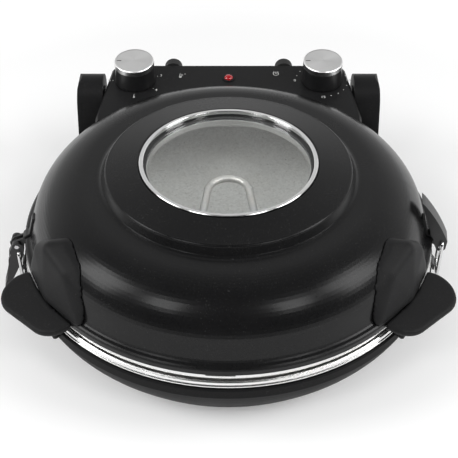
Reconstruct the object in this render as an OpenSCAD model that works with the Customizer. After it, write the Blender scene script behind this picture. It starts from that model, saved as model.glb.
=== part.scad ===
// Electric pizza maker: a round base with a stone, a domed lid with a window,
// and a control housing that turns with the lid between two hinge arms.
// Millimetres, +Z up, front towards -Y, standing on z = 0.

/* [Base] */
// Height of the rubber feet
foot_h = 8; // [6:0.5:12]
// Height of the base shell from its bottom edge to its top shelf
base_h = 45; // [38:1:55]
// How far the base rim stands out beyond the lid's edge
rim_step = 2.5; // [2:0.1:4]
// Height of the upright rim of the base shell
rim_h = 8.6; // [6:0.2:12]
// How far the base draws in from the rim to its bottom edge
base_taper = 20.5; // [12:0.5:26]
// Wall of the base shell
base_t = 2; // [1.5:0.1:2.5]
// Height of the shiny bead of the pan above the base shelf
bead_h = 6.8; // [5:0.2:9]
// Wall of the pan
pan_t = 1; // [0.8:0.1:1.4]
// Depth of the pan below its bead
pan_depth = 31; // [27:1:34]

/* [Stone] */
// Radius of the baking stone
stone_r = 154; // [150:0.5:156]
// Thickness of the baking stone
stone_t = 12; // [8:0.5:14]
// Radius of the edge rounding of the stone
stone_edge = 2; // [1:0.5:3]

/* [Elements] */
// Radius of the heating tubes
tube_r = 3.2; // [2.6:0.1:3.8]
// How far the lower heating ring lies inside the stone's edge
lower_ring_in = 42; // [32:1:58]
// How far the upper heating ring lies inside the lid's crest
upper_ring_in = 6.5; // [3:0.5:14]
// Half width of the inward loop of the upper tube
loop_r = 17; // [14:0.5:20]
// How far the loop of the upper tube reaches behind the centre
loop_top_y = 8; // [0:1:14]

/* [Lid] */
// How far the lid's edge stands out beyond the stone
lid_border = 17; // [15:0.5:22]
// Gap in height between the pan's bead and the lid's edge
lid_gap = 7.2; // [6.6:0.2:9]
// Height of the crest of the lid above its edge
dome_h = 54; // [50:1:58]
// Radius of the round shoulder of the lid
shoulder_r = 45; // [40:1:48]
// Draft of the lid's wall in degrees
wall_draft = 15; // [12:0.5:18]
// Width of the flange at the foot of the lid's wall
flange_w = 5.7; // [5:0.1:7]
// Wall of the lid
lid_t = 1.5; // [1:0.1:1.8]
// Width of the valley between the lid's shoulder and the step of the plateau
valley_w = 11; // [8:0.5:15]
// Height of the plateau's edge above the crest
step_h = 8.6; // [7:0.2:10]
// Radial width of the step
step_w = 6.5; // [5:0.5:8]
// Rise of the plateau from its edge to the window
plateau_rise = 4.8; // [3:0.2:6]

/* [Window] */
// Radius of the recess that holds the window
dish_r = 73; // [70:0.5:76]
// Depth of the recess
dish_depth = 7.6; // [7:0.2:8.6]
// Width of the ledge that carries the glass
ledge_w = 6; // [5:0.5:8]
// Thickness of the glass
glass_t = 4; // [3:0.5:4.5]
// Thickness of the gasket under the glass
gasket_t = 1.2; // [0.8:0.1:1.6]
// Width of the bright ring
bezel_w = 3.4; // [2.8:0.1:4.2]

/* [Controls] */
// Tilt of the control panel towards the front in degrees
panel_tilt = 5; // [2:0.5:7]
// Height of the panel above the lid's edge at the knobs
panel_h = 36; // [34.5:0.5:38]
// Distance of the knobs in front of the line of the lid's rear edge
knob_in = 1.6; // [0:0.2:3]
// Distance of each knob from the middle plane
knob_x = 89; // [86:0.5:92]
// Radius of a knob at its foot
knob_r = 19.2; // [17:0.1:20.5]
// Radius of a knob's metal cap
cap_r = 18.6; // [16:0.1:19]
// Height of a knob with its cap
knob_h = 23.5; // [20:0.5:28]
// Thickness of a knob's metal cap
cap_h = 5.2; // [4:0.2:7]
// Radius of a knob's shaft
shaft_r = 3; // [2.5:0.1:3.5]
// Radius of the lamp's lens
lamp_r = 5; // [4:0.2:6]
// Wall of the control housing
housing_t = 2.5; // [2:0.1:3]
// How far the housing's back stands behind the lid's edge
housing_out = 24; // [21:0.5:27]
// Half width of the housing at its back
housing_w = 113.2; // [112:0.2:118]

/* [Hinge] */
// Distance of the hinge axis in front of the line of the lid's rear edge
hinge_in = 3; // [0:0.5:4]
// Height of the hinge axis above the lid's edge
hinge_h = 21; // [20:0.5:23]
// Radius of the round top of an arm
arm_r = 20; // [17:0.5:21]
// Width of an arm at its foot
arm_w = 26.5; // [24:0.5:30]
// Radius of a hinge pin
pin_r = 4; // [3:0.25:5]
// Radius of a round bumper on the housing's back
bumper_r = 8.6; // [7:0.2:9]
// Length of a bumper
bumper_l = 10; // [7:0.5:11]
// Distance of each bumper from the middle plane
bumper_x = 54; // [50:0.5:58]

/* [Handles] */
// Radius of the round ends of a lower wing
wing_r = 22; // [19:0.5:24]
// Thickness of a lower wing
wing_t = 6; // [5:0.5:8]
// Slope of a lower wing down to its outer edge in degrees
wing_slope = 12; // [9:1:16]
// Height of an upper handle from its underside to its top
grip_h = 44.6; // [40:0.2:46]
// Radius of the rounding of an upper handle
grip_round = 9; // [7:0.5:10]

/* [Latches] */
// Angle of each latch in front of the hinge line's parallel, in degrees
latch_angle = 7; // [4:0.5:9]
// How far the lever's pivot stands out from the lid's edge
pivot_out = 7.5; // [7.3:0.1:10]
// Height of the lever's pivot below the lid's edge
pivot_drop = 2; // [1:0.1:3]
// Width of a lever
lever_w = 14; // [13:0.5:22]
// Height of a closed lever above its pivot
lever_l = 45; // [40:0.5:48]
// Turn of an open lever in degrees
open_turn = 186; // [184:0.5:187]
// Radius of the latch wire
wire_r = 1.5; // [1.2:0.05:1.6]
// Radius of a latch pin
latch_pin_r = 1.8; // [1.4:0.1:2]

/* [Hidden] */

// Clearances
gap = 0.4; // between pieces that move past each other
fit = 0.05; // radial play of a running fit
skin = 0.2; // between curved pieces that are screwed together
// Roundness of large and small turned forms
big = 180;
small = 48;

// Radii and distances that follow the stone
lid_r = stone_r + lid_border;
rim_r = lid_r + rim_step;
lower_ring_r = stone_r - lower_ring_in;
knob_y = lid_r - knob_in;
housing_back = lid_r + housing_out;
hinge_y = lid_r - hinge_in;
pivot_r = lid_r + pivot_out;

// Levels above the table
base_top = foot_h + base_h;
base_foot_r = rim_r - base_taper;
bead_top = base_top + bead_h;
pan_floor = bead_top - pan_depth;
ledge_z = bead_top - stone_t;
lid_edge = bead_top + lid_gap;
crest_z = lid_edge + dome_h;
plateau_z = crest_z + step_h;
lip_z = plateau_z + plateau_rise;
shelf_z = lip_z - dish_depth;
shelf_r = dish_r - ledge_w;
panel_z = lid_edge + panel_h;
hinge_z = lid_edge + hinge_h;

// Points of an arc, of the offset of a path and of a thin band along a path
function arc(c, r, a0, a1, n) =
    [for (i = [0:n]) let (a = a0 + (a1 - a0) * i / n) c + r * [cos(a), sin(a)]];
function left_of(p, q) = let (d = q - p) [-d[1], d[0]] / norm(d);
function miter(a, b) = let (m = (a + b) / 2) m / (m * m);
function beside(path, t) =
    [for (i = [0:len(path) - 1])
        let (a = left_of(path[max(i - 1, 0)], path[max(i, 1)]),
             b = i < len(path) - 1 ? left_of(path[i], path[i + 1]) : a)
        path[i] + t * miter(a, b)];
function band(path, t) =
    let (s = beside(path, t)) concat(path, [for (i = [len(path) - 1:-1:0]) s[i]]);
function bow(p, q, sag, n) =
    [for (i = [0:n]) let (k = i / n) p + k * (q - p) - 4 * sag * k * (1 - k) * left_of(p, q)];
function turn(p, a) = [p[0] * cos(a) + p[1] * sin(a), p[1] * cos(a) - p[0] * sin(a)];

module spun(path, t) rotate_extrude($fn = big) polygon(band(path, t));
module both_sides() { children(); mirror([1, 0, 0]) children(); }
// Outline of the lid from its window ledge to its edge
foot_r = lid_r - flange_w;
foot_z = lid_edge + 8.2;
arc_end_z = crest_z - shoulder_r * (1 - sin(wall_draft));
crest_r = foot_r - shoulder_r * cos(wall_draft) - (arc_end_z - foot_z) * tan(wall_draft);
valley_r = crest_r - valley_w;
plateau_r = valley_r - step_w;
upper_ring_r = crest_r - upper_ring_in;
lid_skin = concat(
    [[dish_r, lip_z - 1], [dish_r + 1.1, lip_z]],
    [[plateau_r - 2.6, plateau_z + 0.25]],
    arc([plateau_r - 2.6, plateau_z - 2.2], 2.5, 72, 12, 5),
    [[valley_r - 3.6, crest_z + 1.3], [valley_r - 1.8, crest_z + 0.3], [valley_r, crest_z]],
    arc([crest_r, crest_z - shoulder_r], shoulder_r, 90, wall_draft, 20),
    [[foot_r - 0.3, foot_z + 1.2], [foot_r + 0.5, foot_z - 0.5], [foot_r + 1.8, foot_z - 1.4]],
    [[lid_r - 1.9, foot_z - 2.1], [lid_r - 0.6, foot_z - 3], [lid_r, foot_z - 4.3]],
    [[lid_r, lid_edge]]);
lid_outline = concat([[shelf_r, shelf_z], [dish_r, shelf_z]], lid_skin);

// The solid that the lid fills, grown by g, which seats what is fixed on the lid
module lid_form(g) rotate_extrude($fn = big)
    polygon(concat([[0, lid_edge - 4], [0, lip_z]], beside(lid_skin, g),
        [[lid_r + g, lid_edge - 4]]));

// Outline of the base shell from its bottom lip to its shelf
base_outline = concat(
    [[base_foot_r - 8, foot_h]],
    arc([base_foot_r - 3, foot_h + 3], 3, -90, -30, 4),
    bow([base_foot_r, foot_h + 3], [rim_r, base_top - rim_h], 2.2, 8),
    [[rim_r, base_top - 1], [rim_r - 1, base_top], [stone_r + 7, base_top]]);
module base_form(g) rotate_extrude($fn = big)
    polygon(concat([[0, foot_h - 1]], beside(base_outline, -g), [[0, base_top + g]]));

// Outline of the pan from its bead to its floor, top side
bead_r = rim_r - 1.2;
pan_outline = [
    [bead_r - 0.4, base_top + pan_t], [bead_r, base_top + 2], [bead_r, base_top + 2.9],
    [bead_r - 1.2, base_top + 3.5], [bead_r - 0.5, base_top + 4.3],
    [bead_r - 0.9, bead_top - 0.7], [bead_r - 2, bead_top], [bead_r - 6, bead_top],
    [stone_r + 4.6, bead_top - 2.4], [stone_r + 1.6, bead_top - 6], [stone_r + 1.2, ledge_z],
    [stone_r - 6, ledge_z], [stone_r - 8.5, ledge_z - 2.5], [stone_r - 12, pan_floor + 3],
    [stone_r - 15.5, pan_floor], [0, pan_floor]];

// Outline of the reflector inside the lid, top side
sheet_t = 1;
lip_out = lid_r - lid_t - 0.6;
lining = 6; // how far the reflector lies inside the lid's shoulder
reflector_outline = concat(
    [[shelf_r + 0.8, shelf_z - lid_t], [shelf_r + 0.8, shelf_z - 6.4],
     [shelf_r + 3.4, shelf_z - 8.2], [plateau_r, crest_z - 4.4]],
    arc([crest_r, crest_z - shoulder_r], shoulder_r - lining, 90, wall_draft, 12),
    [[foot_r - 7.6, foot_z + 1.5], [foot_r - 5, lid_edge + 1.2], [lip_out - 1.2, lid_edge + 0.4],
     [lip_out, lid_edge - 0.8], [lip_out, lid_edge - 5.6]]);

// Latch outlines in a plane through the axis: x outward from the pivot, y up
pivot_z = lid_edge - pivot_drop;
lever_t = 2.6;
lever_back = bow([-17.8, lever_l - 2.5], [4.8, 6.2], -1.6, 10);
lever_outline = concat([[-20.5, lever_l]], lever_back, [[-6.9, 3.5], [-6.9, 7.8]],
    bow([-9.8, 12], [-20.3, lever_l - 2.4], 1, 6));
wire_top = [0.5, 5.6];
wire_x = lever_w / 2 + 2 * wire_r;
lug_r = 4.2;

// The model stands with the middle of its outer size over the origin
left_reach = max([for (p = lever_outline) (pivot_r + turn(p, open_turn)[0])])
    * cos(latch_angle) + lever_w / 2 * sin(latch_angle);
right_reach = (pivot_r + max([for (p = lever_outline) p[0]]))
    * cos(latch_angle) + lever_w / 2 * sin(latch_angle);
axis_x = (left_reach - right_reach) / 2;
axis_y = (rim_r - housing_back - bumper_l) / 2;
module place() translate([axis_x, axis_y, 0]) children();

module panel_frame() translate([0, knob_y, panel_z]) rotate([panel_tilt, 0, 0]) children();
// A latch plane on the right; side -1 mirrors it to the left
module latch_frame(side)
    scale([side, 1, 1]) rotate([0, 0, -latch_angle])
        translate([pivot_r, 0, pivot_z]) children();
module latch_slice(w) rotate([90, 0, 0]) translate([0, 0, -w / 2])
    linear_extrude(height = w) children();

// Base

module base_shell() color("#1c1c1d") place() spun(base_outline, base_t);

module base_pan() color("#c9c9c7") place() difference() {
    spun(pan_outline, pan_t);
    leg_holes(pan_floor + 11);
}
// Holes that the tubes' legs pass, in the rear of the pan and of the reflector
module leg_holes(z) for (s = [-1, 1]) translate([s * tube_leg_x, lid_r - 66, z])
    rotate([-90, 0, 0]) cylinder(h = 60, r = tube_r + 0.6, $fn = small);

module pizza_stone() color("#c9b79c") place() rotate_extrude($fn = big)
    polygon(concat([[0, ledge_z], [stone_r - 1, ledge_z], [stone_r, ledge_z + 1]],
        arc([stone_r - stone_edge, bead_top - stone_edge], stone_edge, 0, 90, 6),
        [[0, bead_top]]));

// Pieces of a bent heating tube. An arc stops just short of its ends, where a joint closes it
tube_leg_x = 16;
tube_bend = 9;
tube_short = 0.2;
module tube_arc(c, r, a0, a1) {
    short = tube_short / r * 180 / PI;
    translate(c) rotate([0, 0, a0 + short]) rotate_extrude(angle = a1 - a0 - 2 * short, $fn = big)
        translate([r, 0]) circle(r = tube_r, $fn = small);
}
module tube_joint(c, r, a) translate(c) rotate([0, 0, a]) translate([r, 0, 0])
    sphere(r = tube_r + 0.35, $fn = small);
// Bend at the back of a ring of radius r and the leg from there to y
function tail_centre(r) = let (x = tube_leg_x + tube_bend) [x, sqrt((r + tube_bend) ^ 2 - x * x)];
function tail_angle(r) = atan2(tail_centre(r)[1], tail_centre(r)[0]);
module tube_tail(r, y) {
    g = tail_centre(r);
    tube_arc(g, tube_bend, 180, 180 + tail_angle(r));
    tube_joint(g, tube_bend, 180);
    tube_joint([0, 0], r, tail_angle(r));
    translate([tube_leg_x, g[1] + tube_short, 0]) rotate([-90, 0, 0])
        cylinder(h = y - g[1] - tube_short, r = tube_r, $fn = small);
}
element_z = pan_floor + 11;
module lower_element() color("#6f6e6c") place() translate([0, 0, element_z]) {
    tube_arc([0, 0], lower_ring_r, 180 - tail_angle(lower_ring_r),
        360 + tail_angle(lower_ring_r));
    both_sides() tube_tail(lower_ring_r, stone_r + 2);
}
clip_n = 3;
module lower_element_clips() color("#b5b5b2") place()
    for (i = [0:clip_n - 1]) rotate([0, 0, -90 + 120 * i]) translate([lower_ring_r, 0, pan_floor])
        element_clip(11);
// A bent strip that holds a tube h above the sheet that it stands on
module element_clip(h) difference() {
    union() {
        translate([-7, -4, 0]) cube([14, 8, 1]);
        translate([-4.8, -4, 0]) cube([9.6, 8, h]);
    }
    translate([-3.6, -5, 1]) cube([7.2, 10, h - tube_r - 0.4]);
    translate([0, -5, h]) rotate([-90, 0, 0])
        cylinder(h = 10, r = tube_r + saddle_play, $fn = small);
}
saddle_play = 0.15;

shield_z = (foot_h + pan_floor) / 2;
module lower_heat_shield() color("#a7a8a8") place() difference() {
    spun([[0, shield_z + 4], [base_foot_r - 57, shield_z + 4], [base_foot_r - 51, shield_z],
        [base_foot_r - 12, shield_z]], -sheet_t);
    for (i = [0:5]) rotate([0, 0, 60 * i]) translate([base_foot_r - 27, 0, shield_z - 2])
        cylinder(h = 4, r = 4, $fn = small);
}

module bottom_cover() color("#232324") place() difference() {
    union() {
        translate([0, 0, foot_h]) cylinder(h = 1.6, r = base_foot_r - 8 - 0.1, $fn = big);
        for (i = [0:3]) rotate([0, 0, 45 + 90 * i]) translate([foot_at, 0, foot_h + 1.6])
            cylinder(h = 5, r = 6, $fn = small);
    }
    for (i = [0:3]) rotate([0, 0, 45 + 90 * i]) translate([foot_at, 0, foot_h - 1])
        cylinder(h = 6, r = 2.1, $fn = small);
    for (x = [-5:5]) translate([x * 9, 0, foot_h - 1]) linear_extrude(height = 4) slot_2d(2, 26);
}
module slot_2d(r, l) {
    square([2 * r, 2 * l], center = true);
    for (s = [-1, 1]) translate([0, s * l]) circle(r = r, $fn = 24);
}
foot_at = base_foot_r - 27;
module bottom_screws() color("#8d8d8f") place()
    for (i = [0:3]) rotate([0, 0, 45 + 90 * i]) translate([foot_at, 0, 0]) {
        translate([0, 0, 3]) cylinder(h = 2, r = 3.6, $fn = small);
        translate([0, 0, 5]) cylinder(h = foot_h - 1, r = 2, $fn = small);
    }
module rubber_feet() color("#141414") place()
    for (i = [0:3]) rotate([0, 0, 45 + 90 * i]) translate([foot_at, 0, 0]) rotate_extrude($fn = small)
        polygon([[4, 0], [9.2, 0], [10, 0.8], [11.5, foot_h], [2.1, foot_h], [2.1, 5], [4, 5]]);

// Hinge block, arms and pins

// the open lid leans on its bumpers, whose ends stop_gap above the block
stop_gap = 0.5;
block_top = hinge_z - (housing_back + bumper_l - hinge_y) - stop_gap;
arm_in = housing_w + 6.2;
arm_out = arm_in + arm_w;
block_back = hinge_y + arm_r;
block_side = 56; // from the block's back to where its sides draw in
block_nose = 82; // from the block's back to its front, which the base shell hides
module block_plan(inset) polygon(concat(
    arc([arm_out - 12, block_back - 12], 12 - inset, 0, 90, 8),
    arc([-arm_out + 12, block_back - 12], 12 - inset, 90, 180, 8),
    [[-arm_out + inset, block_back - block_side],
     [-arm_out + 22, block_back - block_nose + inset],
     [arm_out - 22, block_back - block_nose + inset],
     [arm_out - inset, block_back - block_side]]));
module hinge_block() color("#1d1d1e") place() difference() {
    translate([0, 0, foot_h + 2]) linear_extrude(height = block_top - foot_h - 2) block_plan(0);
    translate([0, 0, foot_h + 1]) difference() {
        linear_extrude(height = block_top - foot_h - 1 - 2.5) block_plan(2.5);
        cylinder(h = 60, r = rim_r + 2.5, $fn = big);
    }
    cylinder(h = 90, r = rim_r, $fn = big);
    translate([gland_x, block_back - 10, gland_z]) rotate([-90, 0, 0])
        cylinder(h = 20, r = gland_r, $fn = small);
    for (s = [-1, 1]) for (i = [-4:4]) translate([s * 60 + i * 6, block_back, 30])
        cube([2.4, 12, 16], center = true);
}
module hinge_block_cover() color("#232324") place() difference() {
    translate([0, 0, foot_h + 2]) linear_extrude(height = 1.8) block_plan(2.7);
    cylinder(h = 60, r = rim_r + 2.7, $fn = big);
}
gland_x = 0;
gland_z = 28;
gland_r = 6;
// Bush for the mains cord, open through its middle
module cord_gland() color("#121212") place() translate([gland_x, block_back - 4, gland_z])
    rotate([-90, 0, 0]) rotate_extrude($fn = small)
        polygon([[4, 0], [gland_r, 0], [gland_r, 4], [gland_r + 2.5, 4], [gland_r + 2.5, 6.5],
            [5.6, 9.5], [4, 9.5]]);

// Side outline of an arm, x backwards, y up
module arm_side() {
    translate([hinge_y, hinge_z]) circle(r = arm_r, $fn = 96);
    translate([hinge_y - arm_r, block_top]) square([2 * arm_r, hinge_z - block_top]);
}
module arm_right() difference() {
    union() {
        arm_body();
        translate([arm_in - 1, hinge_y, hinge_z]) rotate([0, 90, 0])
            cylinder(h = 3, r = pin_r + 5, $fn = 96);
    }
    translate([arm_in - 2, hinge_y, hinge_z]) rotate([0, 90, 0])
        cylinder(h = 17, r = pin_r, $fn = small);
}
module arm_body() intersection() {
    translate([arm_in, 0, 0]) rotate([90, 0, 90]) linear_extrude(height = arm_w) arm_side();
    // outer face drafted inwards towards the top, with its edge rounded off
    translate([0, hinge_y + arm_r, 0]) rotate([90, 0, 0]) linear_extrude(height = 2 * arm_r)
        polygon([[0, block_top], [arm_out, block_top], [arm_out - 2.6, hinge_z + arm_r - 5],
            [arm_out - 3.6, hinge_z + arm_r - 2], [arm_out - 6, hinge_z + arm_r],
            [0, hinge_z + arm_r]]);
}
module hinge_arm_left() color("#1a1a1b") place() mirror([1, 0, 0]) arm_right();
module hinge_arm_right() color("#1a1a1b") place() arm_right();
// the pin's inner end stays clear of the timer's body
thermostat_w = 26;
timer_w = 30;
boss_wall = 3;
boss_l = arm_in - boss_wall - gap - knob_x - timer_w / 2;
module pin_right() translate([arm_in - boss_l, hinge_y, hinge_z]) rotate([0, 90, 0])
    cylinder(h = boss_l + 15, r = pin_r, $fn = small);
module hinge_pin_left() color("#b9bbbd") place() mirror([1, 0, 0]) pin_right();
module hinge_pin_right() color("#b9bbbd") place() pin_right();

// Lower wings, one on each side of the base rim

// The flat top of a wing slopes down from wing_root on its inner side
function beyond_lid(out, a) = -(lid_r + out) * [cos(a), sin(a)];
wing_rear = beyond_lid(9.33, 28.48);
wing_front = beyond_lid(1.81, 38.89);
wing_mid = (wing_rear + wing_front) / 2;
wing_dir = atan2(wing_mid[1], wing_mid[0]);
wing_root = [lid_r + 0.6, 0, lid_edge + 4];
wing_foot_w = 42;
module wing_disc(at) {
    p = [at[0] * cos(wing_dir) + at[1] * sin(wing_dir) - wing_root[0],
        at[1] * cos(wing_dir) - at[0] * sin(wing_dir)];
    translate([p[0] / cos(wing_slope), p[1], 0]) rotate_extrude($fn = 40)
        polygon(concat([[0, 0], [0, -wing_t]],
            arc([wing_r - wing_t * 0.55, -wing_t * 0.45], wing_t * 0.55, -90, 70, 7)));
}
module wing_left_form() difference() {
    rotate([0, 0, wing_dir]) union() {
        translate(wing_root) rotate([0, wing_slope, 0]) hull() {
            wing_disc(wing_rear);
            wing_disc(wing_front);
        }
        // foot that stands against the upright rim of the base
        translate([rim_r - 6, -wing_foot_w / 2, base_top - rim_h + 0.4])
            cube([9.5, wing_foot_w, wing_root[2] - wing_t - base_top + rim_h + 1]);
    }
    base_form(0);
    translate([0, 0, base_top - 1]) cylinder(h = bead_h + 2, r = rim_r + gap, $fn = big);
    translate([0, 0, base_top]) cylinder(h = 60, r = lid_r + 0.6, $fn = big);
}
module wing_screw_at() for (s = [-1, 1]) rotate([0, 0, wing_dir])
    translate([rim_r + 3.5, s * 14, base_top - rim_h / 2]) rotate([0, 90, 0]) children();
module wing_left() color("#2b2b2c") place() wing_left_form();
module wing_right() color("#2b2b2c") place() mirror([1, 0, 0]) wing_left_form();
module wing_screws() color("#8d8d8f") place() both_sides() wing_screw_at()
    cylinder(h = 1.2, r = 2.6, $fn = small);

// Lid

module lid_shell() color("#1b1b1c") place() spun(lid_outline, -lid_t);

notch_n = 10;
module lid_reflector() color("#cfcfcd") place() difference() {
    spun(reflector_outline, -sheet_t);
    leg_holes(upper_z);
    for (i = [0:notch_n - 1]) rotate([0, 0, -92 + 360 / notch_n * i])
        translate([lip_out - 3, -11, lid_edge - 3.2]) cube([6, 22, 2.4]);
}

module window_gasket() color("#0f0f10") place() rotate_extrude($fn = big)
    translate([shelf_r, shelf_z]) square([ledge_w - 0.6, gasket_t]);
glass_z = shelf_z + gasket_t;
module window_glass() color("#dfe6e8", 0.35) place() translate([0, 0, glass_z])
    cylinder(h = glass_t, r = dish_r - 0.8, $fn = big);
module window_bezel() color("#e2e2e2") place() rotate_extrude($fn = big)
    polygon([[dish_r - 0.5, glass_z + glass_t], [dish_r - 0.5, lip_z + 0.2],
        [dish_r - 0.9, lip_z + 0.6], [dish_r - 0.1 - bezel_w, lip_z + 0.6],
        [dish_r - 0.5 - bezel_w, lip_z + 0.2], [dish_r - 0.5 - bezel_w, glass_z + glass_t]]);

// Upper tube: a ring with an inward loop at the front, its legs splayed by loop_splay
upper_z = crest_z - 14;
loop_splay = 7;
loop_c = [0, loop_top_y - loop_r];
loop_n = [cos(loop_splay), sin(loop_splay)];
loop_d = [sin(loop_splay), -cos(loop_splay)];
// length of a leg of the loop and centre of the bend that leads it into the ring
loop_a = loop_c + (loop_r + tube_bend) * loop_n;
loop_leg = -loop_a * loop_d
    + sqrt((loop_a * loop_d) ^ 2 - loop_a * loop_a + (upper_ring_r - tube_bend) ^ 2);
loop_f = loop_a + loop_leg * loop_d;
loop_end = atan2(loop_f[1], loop_f[0]);
// the legs pass the reflector and end inside the shell
upper_leg_y = crest_r + sqrt((shoulder_r - lid_t) ^ 2
    - (upper_z + tube_r - crest_z + shoulder_r) ^ 2) - 3.4;
module upper_element() color("#77726c") place() translate([0, 0, upper_z]) {
    tube_arc(loop_c, loop_r, loop_splay, 180 - loop_splay);
    both_sides() {
        tube_joint(loop_c, loop_r, loop_splay);
        translate(loop_c) rotate([0, 0, loop_splay]) translate([loop_r, -tube_short, 0])
            rotate([90, 0, 0])
                cylinder(h = loop_leg - 2 * tube_short, r = tube_r, $fn = small);
        tube_joint(loop_f, tube_bend, 180 + loop_splay);
        tube_arc(loop_f, tube_bend, 180 + loop_splay, 360 + loop_end);
        tube_joint([0, 0], upper_ring_r, loop_end);
        tube_arc([0, 0], upper_ring_r, loop_end, tail_angle(upper_ring_r));
        tube_tail(upper_ring_r, upper_leg_y);
    }
}
// Height at which a clip's outer end meets the reflector's underside
clip_reach = 7;
clip_seat = crest_z - shoulder_r + sqrt((shoulder_r - lining - sheet_t) ^ 2
    - max(0, upper_ring_r + clip_reach - crest_r) ^ 2) - 0.02;
module upper_element_clips() color("#b5b5b2") place()
    for (a = [-30, 45, 135, 210]) rotate([0, 0, a])
        translate([upper_ring_r, 0, clip_seat]) mirror([0, 0, 1]) element_clip(clip_seat - upper_z);

// Upper grips, blended into the shoulder of the lid

function polar(r, a, z) = [-r * sin(a), -r * cos(a), z];
grip_foot = lid_edge + 4.8;
grip_top = grip_foot + grip_h;
// distance inside the lid's edge, angle from the front, drop below the top, share of the rounding
grip_lobes = [
    [24, 57.5, 0, 1], [15, 60, 2.6, 1], [11.5, 64, 10.5, 0.95], [21.5, 49.5, 5.5, 0.9],
    [15, 50.5, 8.5, 0.9], [17.3, 43, 17, 0.65], [12, 44.6, 21.5, 0.65], [8, 43, 32, 0.6],
    [7.5, 65.2, 28, 0.9], [4.4, 42.4, 37.5, 0.55], [4.5, 55, 33, 0.8], [2.5, 55, 39, 0.6]];
module grip_left_form() difference() {
    hull() for (g = grip_lobes)
        translate(polar(lid_r - g[0], g[1], grip_top - g[2] - grip_round * g[3]))
            sphere(r = grip_round * g[3], $fn = 32);
    lid_form(skin);
    translate([0, 0, lid_edge - 20])
        cylinder(h = grip_foot - lid_edge + 20, r = lid_r + 30, $fn = small);
}
module grip_left() color("#2a2a2b") place() grip_left_form();
module grip_right() color("#2a2a2b") place() mirror([1, 0, 0]) grip_left_form();
// Heads of the screws that hold a grip, against the inside of the lid's wall
screw_head = 2.6;
grip_screw_z = lid_edge + 16;
grip_screw_r = foot_r - (grip_screw_z - foot_z) * tan(wall_draft) - lid_t / cos(wall_draft);
module grip_screws() color("#8d8d8f") place() both_sides() for (a = [50, 60])
    rotate([0, 0, -90 - a]) translate([grip_screw_r, 0, grip_screw_z])
        rotate([0, 90 - wall_draft, 0]) translate([0, 0, -screw_head - 0.1])
            cylinder(h = screw_head, r = 3.5, $fn = small);

// Control housing

housing_floor = foot_z + 1.3;
housing_corner = 10;
// where the housing's side runs into the lid's shoulder, and its front end under it
housing_side = let (x = housing_w + 9.3) [x, sqrt((lid_r - 2.3) ^ 2 - x * x)];
housing_end = housing_side - [1, 26];
module housing_plan(inset) polygon(concat(
    arc([housing_w - housing_corner, housing_back - housing_corner], housing_corner - inset,
        5, 90, 8),
    arc([housing_corner - housing_w, housing_back - housing_corner], housing_corner - inset,
        90, 175, 8),
    [[inset - housing_side[0], housing_side[1]], [inset - housing_end[0], housing_end[1]],
     [housing_end[0] - inset, housing_end[1]], [housing_side[0] - inset, housing_side[1]]]));
// The space under the tilted panel, lowered by d
module under_panel(d) panel_frame() translate([-lid_r, -lid_r, -60 - d])
    cube([2 * lid_r, 2 * lid_r, 60]);
// The lower rear edge is rounded about the hinge so that it passes over the pan's bead
swing_r = hinge_z - bead_top - 2 * gap;
module swing_space(inset) translate([0, hinge_y, hinge_z]) rotate([0, 90, 0]) difference() {
    translate([0, 0, -lid_r]) cube([60, 60, 2 * lid_r]);
    translate([0, 0, -lid_r - 1]) cylinder(h = 2 * lid_r + 2, r = swing_r - inset, $fn = big);
}
module housing_solid(inset) hull() {
    intersection() {
        translate([0, 0, housing_floor]) linear_extrude(height = 60) housing_plan(inset);
        under_panel(inset + 2.5);
    }
    intersection() {
        translate([0, 0, housing_floor]) linear_extrude(height = 60) housing_plan(inset + 2.2);
        under_panel(inset);
    }
}
module control_housing() color("#2e2e2f") place() difference() {
    housing_solid(0);
    swing_space(0);
    difference() {
        translate([0, 0, -1]) housing_solid(housing_t);
        lid_form(skin + housing_t);
        swing_space(housing_t);
        both_sides() translate([arm_in - boss_l - boss_wall, hinge_y, hinge_z])
            rotate([0, 90, 0]) cylinder(h = 40, r = pin_r + boss_wall, $fn = small);
    }
    lid_form(skin);
    both_sides() translate([arm_in - boss_l - gap, hinge_y, hinge_z]) rotate([0, 90, 0])
        cylinder(h = 40, r = pin_r + fit, $fn = small);
    panel_frame() {
        for (s = [-1, 1]) translate([s * knob_x, 0, -10])
            cylinder(h = 20, r = shaft_r + 1, $fn = small);
        translate([0, lamp_y, -10]) cylinder(h = 20, r = lamp_r + 0.2, $fn = small);
    }
}
lamp_y = 3.5;
module housing_cover() color("#232324") place() difference() {
    translate([0, 0, housing_floor]) linear_extrude(height = 2) housing_plan(housing_t + 0.2);
    lid_form(skin + housing_t);
    swing_space(housing_t + 0.2);
    for (i = [-4.5:4.5]) translate([i * housing_vents, housing_back - 11, 0])
        cylinder(h = 200, r = 1.6, $fn = 24);
}
housing_vents = (housing_w - 23.2) / 4.5;
module housing_screws() color("#8d8d8f") place() for (s = [-4.5, 4.5])
    translate([s * housing_vents, housing_back - 11, housing_floor - 1.6]) {
        cylinder(h = 1.6, r = 3, $fn = small);
        cylinder(h = 7, r = 1.55, $fn = small);
    }

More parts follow.
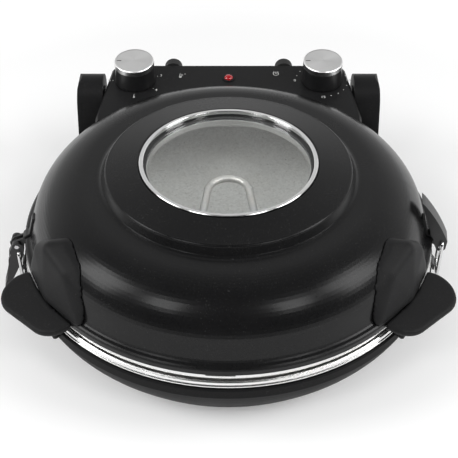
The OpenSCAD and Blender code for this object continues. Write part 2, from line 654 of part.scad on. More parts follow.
body_h = 17;
panel_t = housing_t + 1; // the panel's own wall, which the switches hang from
module switch_body(w, l) difference() {
    union() {
        translate([-w / 2, -l / 2, -panel_t - body_h - 0.1]) cube([w, l, body_h]);
        translate([0, 0, -panel_t - 0.2]) cylinder(h = panel_t - 0.2, r = shaft_r + 0.9, $fn = small);
    }
    translate([0, 0, -panel_t - body_h + 4]) cylinder(h = 30, r = shaft_r + fit, $fn = small);
}
module thermostat_body() color("#c7c3b8") place() panel_frame() translate([-knob_x, 0, 0])
    switch_body(thermostat_w, 22);
module timer_body() color("#bdbdb9") place() panel_frame() translate([knob_x, 0, 0])
    switch_body(timer_w, 24);
module lamp_holder() color("#1a1a1a") place() panel_frame() translate([0, lamp_y, 0]) difference() {
    union() {
        translate([0, 0, -14]) cylinder(h = 14, r = lamp_r, $fn = small);
        cylinder(h = 0.9, r = lamp_r + 1, $fn = small);
    }
    translate([0, 0, -3]) cylinder(h = 9, r = lamp_r - 0.8, $fn = small);
}
module lamp_lens() color("#b01216") place() panel_frame() translate([0, lamp_y, -3])
    rotate_extrude($fn = small) polygon(concat([[0, 0], [lamp_r - 0.8, 0], [lamp_r - 0.8, 3.9]],
        arc([0, 1.9], norm([lamp_r - 0.8, 2]), atan2(2, lamp_r - 0.8), 90, 8)));
module rear_bumpers() color("#232324") place() for (s = [-1, 1])
    translate([s * bumper_x, housing_back, bumper_z]) rotate([-90, 0, 0])
        rotate_extrude($fn = small) polygon(concat([[0, 0], [bumper_r, 0]],
            arc([bumper_r - 1.5, bumper_l - 1.5], 1.5, 0, 90, 5), [[0, bumper_l]]));
bumper_z = panel_z - 5;

// Knobs: skirt, metal cap and shaft each, with the panel's surface at z = 0

knob_gap = 0.6;
shaft_top = knob_h - cap_h - 4;
module knob_skirt() difference() {
    rotate_extrude($fn = 96) polygon(concat(
        [[shaft_r + 3, knob_gap], [knob_r - 0.6, knob_gap], [knob_r, knob_gap + 0.8],
         [cap_r - 0.1, knob_h - cap_h - 0.4], [cap_r - 0.6, knob_h - cap_h],
         [0, knob_h - cap_h], [0, knob_gap + 6], [shaft_r + 3, knob_gap + 6]]));
    translate([0, 0, -1]) cylinder(h = shaft_top + 1, r = shaft_r, $fn = small);
}
module knob_cap() translate([0, 0, knob_h - cap_h]) rotate_extrude($fn = 96)
    polygon([[0, 0], [cap_r, 0], [cap_r, cap_h - 0.7], [cap_r - 0.7, cap_h],
        [cap_r - 1.6, cap_h - 0.25], [0, cap_h - 0.25]]);
module knob_shaft() translate([0, 0, -body_h + 3]) cylinder(h = body_h - 3 + shaft_top,
    r = shaft_r, $fn = small);
module thermostat_knob() color("#131314") place() panel_frame() translate([-knob_x, 0, 0])
    knob_skirt();
module thermostat_cap() color("#d4d4d2") place() panel_frame() translate([-knob_x, 0, 0])
    knob_cap();
module thermostat_shaft() color("#9a9a98") place() panel_frame() translate([-knob_x, 0, 0])
    knob_shaft();
module timer_knob() color("#131314") place() panel_frame() translate([knob_x, 0, 0])
    knob_skirt();
module timer_cap() color("#d4d4d2") place() panel_frame() translate([knob_x, 0, 0]) knob_cap();
module timer_shaft() color("#9a9a98") place() panel_frame() translate([knob_x, 0, 0])
    knob_shaft();

// Latches: bracket and pin on the lid, lever, wire, and catch on the base

ear_t = 2;
ear_at = lever_w / 2 - lever_t - gap - ear_t;
plate_t = 1.6;
module latch_bracket(side) latch_frame(side) {
    difference() {
        for (s = [-1, 1]) translate([0, s * (ear_at + ear_t / 2), 0]) latch_slice(ear_t) {
            circle(r = lug_r - 0.4, $fn = small);
            polygon([[-1.6, -3.4], [1.6, 3.4], [-5.8, 5.9], [-9.5, 5.9], [-9.5, 2], [-6, 0.4]]);
        }
        rotate([90, 0, 0]) cylinder(h = 60, r = latch_pin_r, center = true, $fn = small);
        latch_unframe() lid_form(0.02);
    }
    // plate that follows the foot of the lid's wall
    intersection() {
        latch_unframe() difference() {
            lid_form(plate_t);
            lid_form(0.02);
        }
        translate([-30, -ear_at - ear_t, pivot_drop + 0.3]) cube([30, 2 * (ear_at + ear_t), 24]);
    }
}
module latch_unframe() translate([-pivot_r, 0, -pivot_z]) children();
module latch_pin(side) latch_frame(side) rotate([90, 0, 0])
    cylinder(h = lever_w + 0.6, r = latch_pin_r, center = true, $fn = small);
// The lever in its closed place: two cheeks and a back, open towards the lid
module lever() difference() {
    union() {
        latch_slice(lever_w) polygon(lever_outline);
        for (s = [-1, 1]) translate([0, s * (lever_w - lever_t) / 2, 0]) latch_slice(lever_t) {
            circle(r = lug_r, $fn = small);
            polygon([[-4.1, -0.8], [-6.4, 3.7], [-4, 8], [3.6, 8], [4.7, 6.3], [4.18, 0]]);
        }
    }
    latch_slice(lever_w - 2 * lever_t) polygon(concat([[-30, lever_l - 8]],
        bow([-17, lever_l - 8], [2.1, 5.4], -1.4, 10), [[2.1, 3], [5, 3], [5, -6], [-30, -6]]));
    rotate([90, 0, 0]) cylinder(h = 60, r = latch_pin_r + fit, center = true, $fn = small);
    translate([wire_top[0], 0, wire_top[1]]) rotate([90, 0, 0])
        cylinder(h = 60, r = wire_r + fit, center = true, $fn = small);
}
// The wire hangs from two stubs in the lever's cheeks and ends in a cross rod
wire_l = 34.5;
wire_bend = 2 * wire_r; // starts at the outside of the lever's cheek
module wire_corner() rotate([90, 0, 90]) rotate_extrude(angle = 90, $fn = 96)
    translate([wire_bend, 0]) circle(r = wire_r, $fn = small);
module wire_loop() {
    leg_y = wire_x - wire_bend;
    stub = lever_w / 2 - lever_t + 0.2;
    for (s = [-1, 1]) scale([1, s, 1]) {
        translate([0, leg_y, -wire_bend]) wire_corner();
        translate([0, leg_y, -wire_l + wire_bend]) mirror([0, 0, 1]) wire_corner();
        translate([0, wire_x, -wire_l + wire_bend])
            cylinder(h = wire_l - 2 * wire_bend, r = wire_r, $fn = small);
        translate([0, stub, 0]) rotate([-90, 0, 0])
            cylinder(h = leg_y - stub, r = wire_r, $fn = small);
    }
    translate([0, 0, -wire_l]) rotate([90, 0, 0])
        cylinder(h = 2 * leg_y, r = wire_r, center = true, $fn = small);
}
// The catch is a hooked ledge on the base that ends just inside the hanging cross rod
catch_gap = 1;
catch_x = wire_top[0] - wire_r - catch_gap;
catch_z = wire_top[1] - wire_l + wire_r + 0.8;
module latch_catch(side) difference() {
    latch_frame(side) latch_slice(lever_w - 2) polygon([[-20, catch_z + 7.5], [catch_x - 2.4, catch_z + 7.5],
        [catch_x, catch_z + 4.5], [catch_x, catch_z], [catch_x - 1.4, catch_z],
        [catch_x - 2.4, catch_z + 3], [-20, catch_z - 3]]);
    base_form(0);
}
module latch_bracket_left() color("#222223") place() latch_bracket(-1);
module latch_bracket_right() color("#222223") place() latch_bracket(1);
module latch_pin_left() color("#b9bbbd") place() latch_pin(-1);
module latch_pin_right() color("#b9bbbd") place() latch_pin(1);
module latch_lever_right() color("#2f2f30") place() latch_frame(1) lever();
module latch_lever_left() color("#2f2f30") place() latch_frame(-1) rotate([0, open_turn, 0])
    lever();
module latch_wire_right() color("#c8c8c6") place() latch_frame(1)
    translate([wire_top[0], 0, wire_top[1]]) wire_loop();
module latch_wire_left() color("#c8c8c6") place() latch_frame(-1)
    translate([turn(wire_top, open_turn)[0], 0, turn(wire_top, open_turn)[1]]) wire_loop();
module latch_catch_left() color("#222223") place() latch_catch(-1);
module latch_catch_right() color("#222223") place() latch_catch(1);

base_shell();
base_pan();
pizza_stone();
lower_element();
lower_element_clips();
lower_heat_shield();
bottom_cover();
bottom_screws();
rubber_feet();
hinge_block();
hinge_block_cover();
hinge_arm_left();
hinge_arm_right();
hinge_pin_left();
hinge_pin_right();
wing_left();
wing_right();
wing_screws();
latch_catch_left();
latch_catch_right();
cord_gland();
lid_shell();
lid_reflector();
window_gasket();
window_glass();
window_bezel();
upper_element();
upper_element_clips();
control_housing();
housing_cover();
housing_screws();
thermostat_body();
timer_body();
lamp_holder();
lamp_lens();
rear_bumpers();
grip_left();
grip_right();
grip_screws();
latch_bracket_left();
latch_bracket_right();
latch_pin_left();
latch_pin_right();
thermostat_knob();
thermostat_cap();
thermostat_shaft();
timer_knob();
timer_cap();
timer_shaft();
latch_lever_left();
latch_lever_right();
latch_wire_left();
latch_wire_right();
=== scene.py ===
"""Looks, dial print, floor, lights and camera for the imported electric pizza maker."""

import math

import bpy
import bmesh
from mathutils import Euler, Matrix, Vector

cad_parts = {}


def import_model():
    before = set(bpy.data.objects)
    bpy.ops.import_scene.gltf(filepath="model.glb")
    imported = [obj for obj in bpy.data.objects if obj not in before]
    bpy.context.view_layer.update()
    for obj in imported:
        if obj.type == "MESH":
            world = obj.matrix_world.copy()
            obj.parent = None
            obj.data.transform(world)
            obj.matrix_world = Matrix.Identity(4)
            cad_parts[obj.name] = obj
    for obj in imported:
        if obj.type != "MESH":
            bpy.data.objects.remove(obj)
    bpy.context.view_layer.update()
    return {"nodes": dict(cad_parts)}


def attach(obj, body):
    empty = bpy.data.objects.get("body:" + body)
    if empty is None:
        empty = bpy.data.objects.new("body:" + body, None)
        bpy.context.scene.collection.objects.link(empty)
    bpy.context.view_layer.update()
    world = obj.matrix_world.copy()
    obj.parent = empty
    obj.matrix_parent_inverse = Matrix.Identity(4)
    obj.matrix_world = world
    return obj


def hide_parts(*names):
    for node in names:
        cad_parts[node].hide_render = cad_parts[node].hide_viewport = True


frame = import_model()
nodes = frame["nodes"]

# Places that the pieces below sit on, in millimetres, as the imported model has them
AX, AY = 5.42718, -15.75
KNOB_Y, KNOB_X, PANEL_Z, TILT = 169.4, 89.0, 103.0, 5.0
KNOB_H = 23.5
MM = 0.001

# Bump heights in metres, and the cosines between which an edge's mask fades out
MACHINED, MOULDED = 0.00001, 0.00003
EDGE_COS, FLAT_COS = 0.86, 0.995
DUST = (0.11, 0.11, 0.108)


# Node trees


class Tree:
    """Node tree of a new material or world, with short calls to add nodes and join them."""

    def __init__(self, name, owners=None, output="Material"):
        self.owner = (bpy.data.materials if owners is None else owners).new(name)
        self.owner.use_nodes = True
        self.t = self.owner.node_tree
        self.t.nodes.clear()
        self.out = self.t.nodes.new("ShaderNodeOutput" + output)

    def add(self, kind, inputs=None, **settings):
        n = self.t.nodes.new("ShaderNode" + kind)
        for k, v in settings.items():
            setattr(n, k, v)
        for k, v in (inputs or {}).items():
            self.put(n.inputs[k], v)
        return n

    def put(self, socket, v):
        if isinstance(v, bpy.types.NodeSocket):
            self.t.links.new(v, socket)
        elif isinstance(v, (tuple, list)) and len(v) == 3 and socket.type == "RGBA":
            socket.default_value = (*v, 1)
        else:
            socket.default_value = v

    def math(self, op, a, b=0.0, c=0.0):
        return self.add("Math", {0: a, 1: b, 2: c}, operation=op).outputs[0]

    def plus(self, a, b):
        return self.math("ADD", a, b)

    def times(self, a, b):
        return self.math("MULTIPLY", a, b)

    def noise(self, vec, scale, detail=2.0, rough=0.5):
        inputs = {"Vector": vec, "Scale": scale, "Detail": detail, "Roughness": rough}
        return self.add("TexNoise", inputs).outputs[0]

    def span(self, v, a, b, lo=0.0, hi=1.0):
        """a where v is lo, b where it is hi, and even steps between"""
        inputs = {"Value": v, "From Min": lo, "From Max": hi, "To Min": a, "To Max": b}
        return self.add("MapRange", inputs).outputs[0]

    def mix(self, f, a, b):
        n = self.add("Mix", data_type="RGBA")
        for i, v in ((0, f), (6, a), (7, b)):
            self.put(n.inputs[i], v)
        return n.outputs[2]

    def here(self):
        """place on the object, in metres"""
        return self.add("TexCoord").outputs["Object"]

    def bump(self, height, distance, strength, normal=None):
        n = self.add("Bump", {"Height": height, "Distance": distance, "Strength": strength})
        if normal is not None:
            self.put(n.inputs["Normal"], normal)
        return n.outputs[0]

    def edges(self, radius):
        """(softened normal, 0 to 1 mask of the edges)"""
        bevel = self.add("Bevel", {"Radius": radius}, samples=4).outputs[0]
        plain = self.add("NewGeometry").outputs["Normal"]
        dot = self.add("VectorMath", {0: bevel, 1: plain}, operation="DOT_PRODUCT")
        return bevel, self.span(dot.outputs["Value"], 1.0, 0.0, EDGE_COS, FLAT_COS)

    def end(self, shader):
        self.t.links.new(shader, self.out.inputs[0])

    def surface(self, **inputs):
        b = self.add("BsdfPrincipled", {k.replace("_", " "): v for k, v in inputs.items()})
        self.end(b.outputs[0])

    def polar(self, cx=AX, cy=AY):
        """(distance from an upright axis in metres, angle in radians, height in metres)"""
        xyz = self.add("SeparateXYZ", {0: self.here()}).outputs
        x = self.math("SUBTRACT", xyz[0], cx * MM)
        y = self.math("SUBTRACT", xyz[1], cy * MM)
        r = self.math("SQRT", self.plus(self.times(x, x), self.times(y, y)))
        return r, self.math("ARCTAN2", y, x), xyz[2]

    def vector(self, x, y, z):
        return self.add("CombineXYZ", {0: x, 1: y, 2: z}).outputs[0]


def shade(c, k):
    return tuple(min(1, v * k) for v in c)


def lacquer(name, col, rough, grain, depth, vary, wear, edge=0.0005, spec=0.5):
    """Painted or moulded surface: fine grain, uneven gloss, faint dust and lighter edges."""
    t = Tree(name)
    p = t.here()
    cloud, speck, fine = t.noise(p, 22, 3), t.noise(p, 420, 2), t.noise(p, grain, 2, 0.6)
    soft, edge_mask = t.edges(edge)
    c = t.mix(speck, shade(col, 0.72), shade(col, 1.3))
    c = t.mix(t.span(cloud, 0.0, 0.5, 0.35, 0.75), c, shade(col, 1.22))
    specks = t.span(t.noise(p, 1100, 1), 0, 0.35, 0.68, 0.76)
    c = t.mix(t.times(specks, t.span(cloud, 0.3, 1, 0.4, 0.6)), c, DUST)
    c = t.mix(t.times(edge_mask, wear), c, shade(col, 3.2))
    r = t.plus(t.span(cloud, rough - vary, rough + vary, 0.3, 0.7), t.span(fine, -0.04, 0.04))
    n = t.bump(t.plus(fine, t.times(cloud, 0.6)), depth, 0.6, soft)
    t.surface(Base_Color=c, Roughness=r, Normal=n, Specular_IOR_Level=spec)
    return t.owner


def spun_metal(name, col, rough, tint, ring=2600):
    """Sheet metal turned on a lathe: fine rings round the axis, streaks and dull patches."""
    t = Tree(name)
    p = t.here()
    r, a, z = t.polar()
    rings = t.noise(t.vector(t.times(r, ring), t.times(z, ring), t.times(a, 1.4)), 1, 3, 0.7)
    cloud, fine = t.noise(p, 30, 4, 0.6), t.noise(p, 900, 2)
    soft, edge_mask = t.edges(0.0004)
    c = t.mix(rings, shade(col, 0.82), shade(col, 1.12))
    c = t.mix(t.span(cloud, 0, 0.5, 0.45, 0.75), c, tint)
    c = t.mix(t.times(edge_mask, 0.5), c, shade(col, 1.25))
    rr = t.plus(t.span(rings, rough * 0.75, rough * 1.3), t.span(cloud, -0.04, 0.06))
    t.surface(Base_Color=c, Metallic=1.0, Roughness=rr, Anisotropic=0.35,
              Normal=t.bump(t.plus(rings, t.times(fine, 0.3)), MACHINED, 0.5, soft))
    return t.owner


def plated(name, col, rough):
    """Drawn or plated metal: small scratches, cloudy gloss."""
    t = Tree(name)
    p = t.here()
    drawn = t.add("Mapping", {"Vector": p, "Scale": (1, 1, 0.12)}).outputs[0]
    scratches = t.noise(drawn, 1800, 3, 0.7)
    cloud = t.noise(p, 120, 3)
    soft, edge_mask = t.edges(0.0003)
    c = t.mix(scratches, shade(col, 0.8), shade(col, 1.1))
    c = t.mix(t.span(cloud, 0, 0.6, 0.45, 0.75), c, shade(col, 0.75))
    c = t.mix(t.times(edge_mask, 0.5), c, shade(col, 1.3))
    t.surface(Base_Color=c, Metallic=1.0, Roughness=t.span(scratches, rough * 0.7, rough * 1.5),
              Normal=t.bump(scratches, MACHINED, 0.5, soft))
    return t.owner


def heated_tube(name):
    """Sheath of a heating tube: dark oxide with straw and blue patches and dull ash."""
    t = Tree(name)
    p = t.here()
    patches, fine, mid = t.noise(p, 34, 3), t.noise(p, 2200, 2), t.noise(p, 260, 3)
    c = t.mix(t.span(patches, 0, 1, 0.38, 0.62), (0.46, 0.455, 0.45), (0.50, 0.475, 0.44))
    c = t.mix(t.span(mid, 0, 0.6, 0.5, 0.8), c, (0.34, 0.34, 0.35))
    t.surface(Base_Color=c, Metallic=0.6, Roughness=t.span(mid, 0.28, 0.5),
              Normal=t.bump(t.plus(fine, mid), MOULDED, 0.5))
    return t.owner


def fired_stone(name):
    """Fired stone: pale body with grey and tan grains, pores with painted shade in them, and light
    browning.
    """
    t = Tree(name)
    p = t.here()
    grains = t.add("TexVoronoi", {"Vector": p, "Scale": 620.0}).outputs["Color"]
    grain = t.add("SeparateColor", {0: grains}).outputs[0]
    cloud, fine, pores = t.noise(p, 26, 4, 0.6), t.noise(p, 1900, 3, 0.7), t.noise(p, 640, 2)
    c = t.mix(grain, (0.66, 0.65, 0.625), (0.80, 0.79, 0.765))
    c = t.mix(t.span(t.noise(p, 300, 2), 0, 0.45, 0.6, 0.72), c, (0.50, 0.475, 0.43))
    c = t.mix(t.span(cloud, 0, 0.2, 0.45, 0.8), c, (0.60, 0.55, 0.46))
    # painted shade: the pits are coloured dark, as shade inside them would make them look
    hole = t.span(pores, 1, 0, 0.66, 0.72)
    c = t.mix(hole, (0.3, 0.28, 0.25), c)
    height = t.plus(t.times(hole, 1.4), t.times(fine, 0.5))
    t.surface(Base_Color=c, Roughness=t.span(fine, 0.78, 0.95), Normal=t.bump(height, 0.00012, 0.6))
    return t.owner


def window_pane(name):
    """Clear glass that lets light through, with a faint film and a few specks."""
    t = Tree(name)
    p = t.here()
    film = t.span(t.noise(p, 45, 3), 0.015, 0.075, 0.4, 0.7)
    tone = t.mix(t.noise(p, 30), (0.97, 0.985, 0.98), (0.93, 0.95, 0.945))
    g = t.add("BsdfPrincipled", {"Base Color": tone, "Roughness": film, "IOR": 1.45,
                                 "Transmission Weight": 1.0,
                                 "Normal": t.bump(t.noise(p, 60, 2), 0.00002, 0.15)})
    clear = t.add("BsdfTransparent", {0: (0.97, 0.98, 0.98)})
    way = t.add("LightPath")
    f = t.math("MAXIMUM", way.outputs["Is Shadow Ray"], way.outputs["Is Diffuse Ray"])
    m = t.add("MixShader", {0: f, 1: g.outputs[0], 2: clear.outputs[0]})
    t.end(m.outputs[0])
    return t.owner


def red_lens(name):
    """Clear red plastic of the lamp, a little uneven in colour."""
    t = Tree(name)
    p = t.here()
    c = t.mix(t.noise(p, 500, 2), (0.42, 0.006, 0.01), (0.75, 0.02, 0.03))
    t.surface(Base_Color=c, Roughness=t.span(t.noise(p, 300), 0.06, 0.16),
              Transmission_Weight=0.35, IOR=1.49, Coat_Weight=0.6, Coat_Roughness=0.04,
              Normal=t.bump(t.noise(p, 900), MACHINED, 0.3))
    return t.owner


def turned_cap(name, cx, cy):
    """Aluminium face turned on a lathe, with a painted highlight: a fan of bright lobes in its
    colour, like the fan of light that such rings give.
    """
    t = Tree(name)
    p = t.here()
    r, a, z = t.polar(cx, cy)
    rings = t.noise(t.vector(t.times(r, 5200), t.times(z, 5200), a), 1, 3, 0.8)
    soft, edge_mask = t.edges(0.0004)
    # painted highlight: two bright lobes and two dark gaps round the axis, fixed in the colour and
    # not moving with the view
    painted_fan = t.plus(t.times(t.math("SINE", t.math("MULTIPLY_ADD", a, 2.0, 0.9)), 0.5), 0.5)
    uneven = t.noise(t.vector(t.times(a, 3.0), 0.0, 0.0), 1, 2)
    painted_fan = t.times(painted_fan, t.span(uneven, 0.75, 1.1))
    c = t.mix(rings, (0.68, 0.68, 0.675), (0.9, 0.9, 0.895))
    c = t.mix(t.times(painted_fan, 0.5), c, (0.97, 0.97, 0.965))
    c = t.mix(t.times(edge_mask, 0.6), c, (0.95, 0.95, 0.95))
    tangent = t.add("Tangent", direction_type="RADIAL", axis="Z").outputs[0]
    t.surface(Base_Color=c, Metallic=1.0, Roughness=t.span(rings, 0.24, 0.38),
              Anisotropic=0.75, Tangent=tangent, Normal=t.bump(rings, MACHINED, 0.5, soft))
    return t.owner


def print_ink(name, col, rough):
    """Printed ink, slightly grainy."""
    t = Tree(name)
    p = t.here()
    c = t.mix(t.noise(p, 1500, 2), shade(col, 0.8), shade(col, 1.08))
    t.surface(Base_Color=c, Roughness=t.span(t.noise(p, 600), rough - 0.08, rough + 0.08),
              Normal=t.bump(t.noise(p, 2500), MACHINED, 0.4))
    return t.owner


# name: colour, roughness, grain, bump, change in roughness, wear, then edge and spec where given
LACQUERS = {
    "lid_paint": ((0.0065, 0.0065, 0.0068), 0.25, 1300, 0.000008, 0.03, 0.25, 0.0006, 0.23),
    "base_paint": ((0.0085, 0.0085, 0.0088), 0.5, 1300, 0.000012, 0.03, 0.3, 0.0006, 0.08),
    "cover_plastic": ((0.020, 0.020, 0.021), 0.52, 1900, MOULDED, 0.05, 0.3),
    "rubber": ((0.018, 0.018, 0.018), 0.72, 900, 0.00005, 0.06, 0.2),
    "black_plastic": ((0.012, 0.012, 0.0124), 0.44, 1900, MOULDED, 0.04, 0.35, 0.0008, 0.12),
    "handle_plastic": ((0.012, 0.012, 0.0124), 0.5, 1700, MOULDED, 0.04, 0.4, 0.0009, 0.15),
    "latch_black": ((0.016, 0.016, 0.0165), 0.42, 1500, MOULDED, 0.04, 0.4, 0.0006),
    "switch_case": ((0.55, 0.53, 0.48), 0.5, 1500, MOULDED, 0.05, 0.05),
    "knob_black": ((0.012, 0.012, 0.0125), 0.36, 1900, 0.00002, 0.04, 0.3),
}
LOOKS = {name: lacquer(name, *values) for name, values in LACQUERS.items()}
LOOKS.update({
    "black_paint": LOOKS.pop("lid_paint"),
    "bright_sheet": spun_metal("bright_sheet", (0.86, 0.86, 0.855), 0.22, (0.74, 0.73, 0.71)),
    "stone": fired_stone("fired_stone"),
    "tube": heated_tube("heated_tube"),
    "zinc": plated("zinc_sheet", (0.58, 0.58, 0.57), 0.35),
    "screw_steel": plated("screw_steel", (0.5, 0.5, 0.51), 0.3),
    "pin_steel": plated("pin_steel", (0.62, 0.62, 0.63), 0.22),
    "wire": plated("bright_wire", (0.80, 0.80, 0.80), 0.14),
    "glass": window_pane("window_pane"),
    "bright_ring": spun_metal("bright_ring", (0.88, 0.88, 0.88), 0.12, (0.8, 0.8, 0.79), 1400),
    "red_lens": red_lens("red_lens"),
})
CAPS = {
    "thermostat_cap": turned_cap("turned_cap_left", AX - KNOB_X, AY + KNOB_Y),
    "timer_cap": turned_cap("turned_cap_right", AX + KNOB_X, AY + KNOB_Y),
}
SLOTS = {
    "black_paint": ["base_shell", "lid_shell"],
    "bright_sheet": ["base_pan", "lid_reflector"],
    "stone": ["pizza_stone"],
    "tube": ["lower_element", "upper_element"],
    "zinc": ["lower_element_clips", "upper_element_clips", "lower_heat_shield"],
    "cover_plastic": ["bottom_cover", "hinge_block_cover", "housing_cover"],
    "screw_steel": ["bottom_screws", "housing_screws", "wing_screws", "grip_screws"],
    "rubber": ["rubber_feet", "cord_gland", "window_gasket", "rear_bumpers"],
    "black_plastic": ["hinge_block", "hinge_arm_left", "hinge_arm_right", "control_housing",
                      "lamp_holder"],
    "handle_plastic": ["wing_left", "wing_right", "grip_left", "grip_right"],
    "pin_steel": ["hinge_pin_left", "hinge_pin_right", "latch_pin_left", "latch_pin_right",
                  "thermostat_shaft", "timer_shaft"],
    "latch_black": ["latch_catch_left", "latch_catch_right", "latch_bracket_left",
                    "latch_bracket_right", "latch_lever_left", "latch_lever_right"],
    "wire": ["latch_wire_left", "latch_wire_right"],
    "glass": ["window_glass"],
    "bright_ring": ["window_bezel"],
    "switch_case": ["thermostat_body", "timer_body"],
    "red_lens": ["lamp_lens"],
    "knob_black": ["thermostat_knob", "timer_knob"],
}


def dress(obj, mat):
    obj.data.materials.clear()
    obj.data.materials.append(mat)


for slot, names in SLOTS.items():
    for n in names:
        for s in nodes[n].material_slots:
            s.material = LOOKS["base_paint" if n == "base_shell" else slot]
for n, mat in CAPS.items():
    for s in nodes[n].material_slots:
        s.material = mat


# Pieces


def new_object(name, mesh, mat):
    o = bpy.data.objects.new(name, mesh)
    bpy.context.scene.collection.objects.link(o)
    dress(o, mat)
    return o


def moulded(name, source, voxel, body, slot, rounds):
    """The form of a CAD node, remeshed and smoothed, so that its edges are soft."""
    o = new_object(name, nodes[source].data.copy(), LOOKS[slot])
    for kind, settings in (
        ("REMESH", {"mode": "VOXEL", "voxel_size": voxel, "use_smooth_shade": True}),
        ("SMOOTH", {"factor": 0.5, "iterations": rounds}),
    ):
        m = o.modifiers.new(kind.lower(), kind)
        for k, v in settings.items():
            setattr(m, k, v)
    dep = bpy.context.evaluated_depsgraph_get()
    mesh = bpy.data.meshes.new_from_object(o.evaluated_get(dep))
    o.modifiers.clear()
    o.data = mesh
    dress(o, LOOKS[slot])
    for f in o.data.polygons:
        f.use_smooth = True
    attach(o, body)
    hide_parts(source)


for side in ("left", "right"):
    moulded("grip_skin_" + side, "grip_" + side, 0.0013, "lid", "handle_plastic", 10)
    moulded("wing_skin_" + side, "wing_" + side, 0.0011, "base", "handle_plastic", 5)


# Dial scales, printed on the sloping panel

PANEL = (
    Matrix.Translation((AX * MM, (AY + KNOB_Y) * MM, PANEL_Z * MM))
    @ Matrix.Rotation(math.radians(TILT), 4, "X")
)
INK = print_ink("scale_print", (0.72, 0.72, 0.71), 0.5)
POINTER_INK = print_ink("pointer_ink", (0.02, 0.02, 0.021), 0.45)
INK_LIFT, INK_HALF = 0.06, 0.02
NUMBER_H = 4.6
POINTER_R, POINTER_FROM, POINTER_TO, POINTER_LIFT = 0.5, -12.4, -15.9, 0.03
CAP_FACE = KNOB_H - 0.25


def glyph_mesh(text, size):
    """Mesh of one number, centred, in millimetres."""
    c = bpy.data.curves.new("glyph", "FONT")
    c.body = text
    c.size = size
    c.align_x, c.align_y = "CENTER", "CENTER"
    c.extrude = INK_HALF
    c.resolution_u = 6
    o = bpy.data.objects.new("glyph", c)
    bpy.context.scene.collection.objects.link(o)
    dep = bpy.context.evaluated_depsgraph_get()
    mesh = bpy.data.meshes.new_from_object(o.evaluated_get(dep))
    bpy.data.objects.remove(o)
    return mesh


class Print:
    """Collects flat marks in the panel's plane and makes one piece of them."""

    def __init__(self):
        self.bm = bmesh.new()

    def text(self, s, x, y):
        me = glyph_mesh(s, NUMBER_H)
        me.transform(Matrix.Translation((x, y, INK_LIFT)))
        self.bm.from_mesh(me)

    def vert(self, x, y):
        return self.bm.verts.new((x, y, INK_LIFT + INK_HALF))

    def ring(self, x, y, r0, r1, a0=0, a1=360, n=28):
        full = a1 - a0 >= 360
        pts = []
        for i in range(n if full else n + 1):
            a = math.radians(a0 + (a1 - a0) * i / n)
            pts.append([self.vert(x + r * math.cos(a), y + r * math.sin(a)) for r in (r0, r1)])
        for p, q in zip(pts, pts[1:] + ([pts[0]] if full else [])):
            self.bm.faces.new((p[0], p[1], q[1], q[0]))

    def dot(self, x, y, r, n=16):
        turns = [2 * math.pi * i / n for i in range(n)]
        self.bm.faces.new([self.vert(x + r * math.cos(a), y + r * math.sin(a)) for a in turns])

    def bar(self, x, y, w, h, turn=0):
        c, s = math.cos(math.radians(turn)), math.sin(math.radians(turn))
        corners = ((-w / 2, -h / 2), (w / 2, -h / 2), (w / 2, h / 2), (-w / 2, h / 2))
        self.bm.faces.new([self.vert(x + c * u - s * v, y + s * u + c * v) for u, v in corners])

    def finish(self, name, body):
        me = bpy.data.meshes.new(name)
        self.bm.to_mesh(me)
        self.bm.free()
        me.transform(PANEL @ Matrix.Scale(MM, 4))
        o = new_object(name, me, INK)
        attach(o, body)


def at(cx, r, angle):
    """Point on a circle round a knob's axis."""
    a = math.radians(angle)
    return cx + r * math.cos(a), r * math.sin(a)


heat = Print()
for i in range(6):
    a = 180 - 54 * i
    heat.text(str(i), *at(-KNOB_X, 25.2, a))
    heat.dot(*at(-KNOB_X, 21.6, a), 0.42)
# a thermometer
ix, iy = -46.4, 7.6
heat.ring(ix, iy - 2.1, 0.75, 1.25)
heat.ring(ix, iy + 2.2, 0.45, 0.85, 0, 180, 10)
for s in (-1, 1):
    heat.bar(ix + s * 0.65, iy + 0.7, 0.4, 3.4)
for k in range(3):
    heat.bar(ix + 2.0, iy + 0.1 + 1.0 * k, 0.9, 0.32)
heat.dot(ix, iy - 2.1, 0.6)
heat.ring(ix + 4.4, iy + 2.6, 0.35, 0.62, 0, 360, 14)
heat.finish("thermostat_scale", "lid")

clock = Print()
for i in range(16):
    a = 180 - 18 * i
    if i % 5 == 0:
        clock.text(str(i), *at(KNOB_X, 25.6, a))
    else:
        clock.dot(*at(KNOB_X, 24.6, a), 0.5)
# an alarm clock
ix, iy = 45.6, 10.6
clock.ring(ix, iy, 2.35, 2.85, 0, 360, 36)
clock.bar(ix, iy + 0.9, 0.42, 2.0)
clock.bar(ix + 0.6, iy, 1.4, 0.42)
for s in (-1, 1):
    clock.bar(ix + s * 2.2, iy + 2.9, 1.3, 0.5, -s * 45)
clock.finish("timer_scale", "lid")


def pointer(name, cx, body):
    """Dark mark on the cap's face that points at the scale's zero."""
    bm = bmesh.new()
    n = 10
    rim = []
    for s, x0 in ((1, POINTER_FROM), (-1, POINTER_TO)):
        for i in range(n + 1):
            a = math.radians(-90 + 180 * i / n)
            rim.append((x0 + s * POINTER_R * math.cos(a), s * POINTER_R * math.sin(a)))
    top = [bm.verts.new((x, y, CAP_FACE + POINTER_LIFT)) for x, y in rim]
    low = [bm.verts.new((x, y, CAP_FACE)) for x, y in rim]
    bm.faces.new(top)
    for i in range(len(top)):
        j = (i + 1) % len(top)
        bm.faces.new((top[i], low[i], low[j], top[j]))
    me = bpy.data.meshes.new(name)
    bm.to_mesh(me)
    bm.free()
    me.transform(PANEL @ Matrix.Translation((cx * MM, 0, 0)) @ Matrix.Scale(MM, 4))
    o = new_object(name, me, POINTER_INK)
    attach(o, body)


pointer("thermostat_pointer", -KNOB_X, "thermostat_dial")
pointer("timer_pointer", KNOB_X, "timer_dial")


# Floor, lights and camera

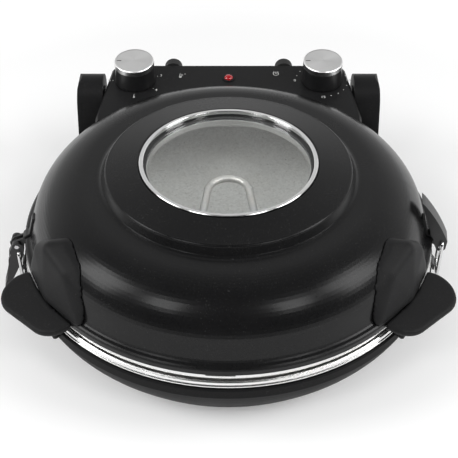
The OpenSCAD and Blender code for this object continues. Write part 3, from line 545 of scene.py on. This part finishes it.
FLOOR_HALF = 12.0
TARGET = (0, 0, 0.08)
PHOTO_PX, FOCAL_PX, SENSOR_MM = 458, 1000, 36
CAM_BACK_MM, CAM_UP, CAM_DOWN_DEG = 651.8, 0.6162, 40.45


def background_mix(t, lit, strength):
    """lit plus plain white that only the camera, gloss and glass see."""
    way = t.add("LightPath").outputs
    f = t.plus(way["Is Camera Ray"], way["Is Glossy Ray"])
    f = t.math("MINIMUM", t.plus(f, way["Is Transmission Ray"]), 1.0)
    glow = t.add("Emission", {"Color": (1, 1, 1), "Strength": t.times(f, strength)})
    return t.add("AddShader", {0: lit, 1: glow.outputs[0]}).outputs[0]


def floor():
    me = bpy.data.meshes.new("floor")
    s = FLOOR_HALF
    me.from_pydata([(-s, -s, 0), (s, -s, 0), (s, s, 0), (-s, s, 0)], [], [(0, 1, 2, 3)])
    t = Tree("pale_floor")
    p = t.here()
    c = t.mix(t.noise(p, 3, 2), (0.80, 0.80, 0.80), (0.83, 0.83, 0.83))
    lit = t.add("BsdfPrincipled", {"Base Color": c, "Roughness": 0.7, "Specular IOR Level": 0.2})
    # more of its own white farther off, where the lamps reach less
    far = t.span(t.polar()[0], 0.2, 1.0, 0.45, 1.5)
    t.end(background_mix(t, lit.outputs[0], far))
    o = new_object("floor", me, t.owner)
    o.location.z = -0.0003


def world():
    t = Tree("studio", bpy.data.worlds, "World")
    bpy.context.scene.world = t.owner
    way = t.add("LightPath").outputs
    d = t.add("SeparateXYZ", {0: t.add("TexCoord").outputs["Generated"]}).outputs
    # what gloss mirrors: pale low down behind the object, dark overhead and behind the camera
    low = t.span(d[2], 1.0, 0.45, 0.3, 0.9)
    back = t.span(d[1], 0.0, 1.0, -0.1, 0.55)
    side = t.span(d[2], 0.07, 0.0, 0.1, 0.5)
    gloss = t.plus(t.times(t.times(low, back), 0.85), 0.02)
    gloss = t.math("MAXIMUM", gloss, side)
    see = t.math("MINIMUM", t.plus(way["Is Camera Ray"], way["Is Transmission Ray"]), 1.0)
    g = t.math("MAXIMUM", t.times(way["Is Glossy Ray"], gloss), see)
    other = t.math("SUBTRACT", 1.0, t.math("MINIMUM", t.plus(way["Is Glossy Ray"], see), 1.0))
    k = t.plus(g, t.times(other, 0.4))
    t.end(t.add("Background", {"Color": (1, 1, 1), "Strength": k}).outputs[0])


def area(name, at_m, w, h, power):
    lamp = bpy.data.lights.new(name, "AREA")
    lamp.shape, lamp.size, lamp.size_y, lamp.energy = "RECTANGLE", w, h, power
    o = bpy.data.objects.new(name, lamp)
    bpy.context.scene.collection.objects.link(o)
    o.location = at_m
    o.rotation_euler = (Vector(TARGET) - Vector(at_m)).to_track_quat("-Z", "Y").to_euler()
    return o


floor()
world()
for name, x, y, z, w, h, power in (
    ("key", 1.7, -0.3, 1.28, 0.8, 1.1, 17),
    ("strip", 0.95, -1.12, 1.55, 0.5, 0.6, 6),
):
    area(name + "_left", (-x, y, z), w, h, power)
    area(name + "_right", (x, y, z), w, h, power)
# even light from above the camera, which gloss doesn't mirror
area("front_top", (0, -1.25, 1.7), 1.3, 1.3, 5).visible_glossy = False

cam = bpy.data.cameras.new("photo")
cam.sensor_width = SENSOR_MM
cam.lens = FOCAL_PX / PHOTO_PX * SENSOR_MM
cam.shift_x = 0.4 / PHOTO_PX
cam_o = bpy.data.objects.new("photo", cam)
bpy.context.scene.collection.objects.link(cam_o)
cam_o.location = (AX * MM, (AY - CAM_BACK_MM) * MM, CAM_UP)
cam_o.rotation_euler = Euler((math.radians(90 - CAM_DOWN_DEG), 0, 0))
bpy.context.scene.camera = cam_o
bpy.context.scene.view_settings.view_transform = "Standard"
